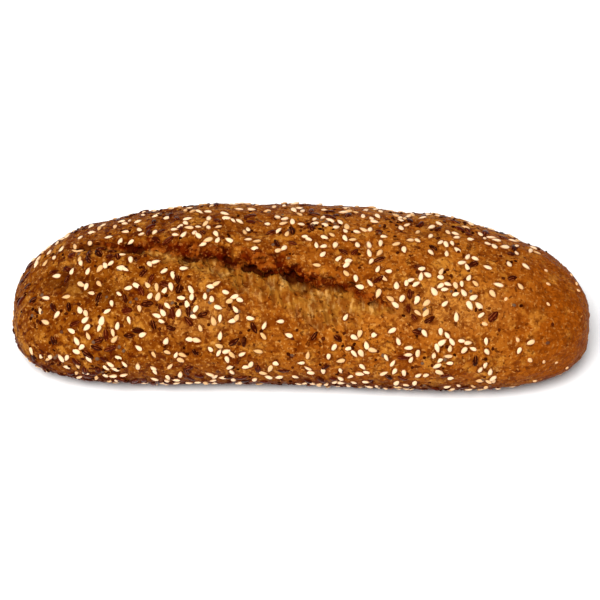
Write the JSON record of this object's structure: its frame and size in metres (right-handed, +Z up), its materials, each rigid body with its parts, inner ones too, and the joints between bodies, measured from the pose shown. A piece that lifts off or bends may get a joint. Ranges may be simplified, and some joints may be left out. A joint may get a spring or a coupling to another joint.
{
  "type": "seeded bread roll",
  "caption": "Long oval baked bread roll with a flat underside, a slash torn open along its crown and seeds baked onto the crust.",
  "frame": {"origin": "on the table under the middle of the roll", "axes": "+X along the roll towards its bare, blunter end, +Y towards the back edge that the slash runs away from, +Z up through the crown"},
  "size_m": [0.22, 0.0774, 0.0496],
  "materials": {
    "crust": "golden brown baked crust, slightly glossy, with cream and dark brown seeds"
  },
  "bodies": {
    "root": {"bread_roll": "crust"}
  },
  "joints": []
}
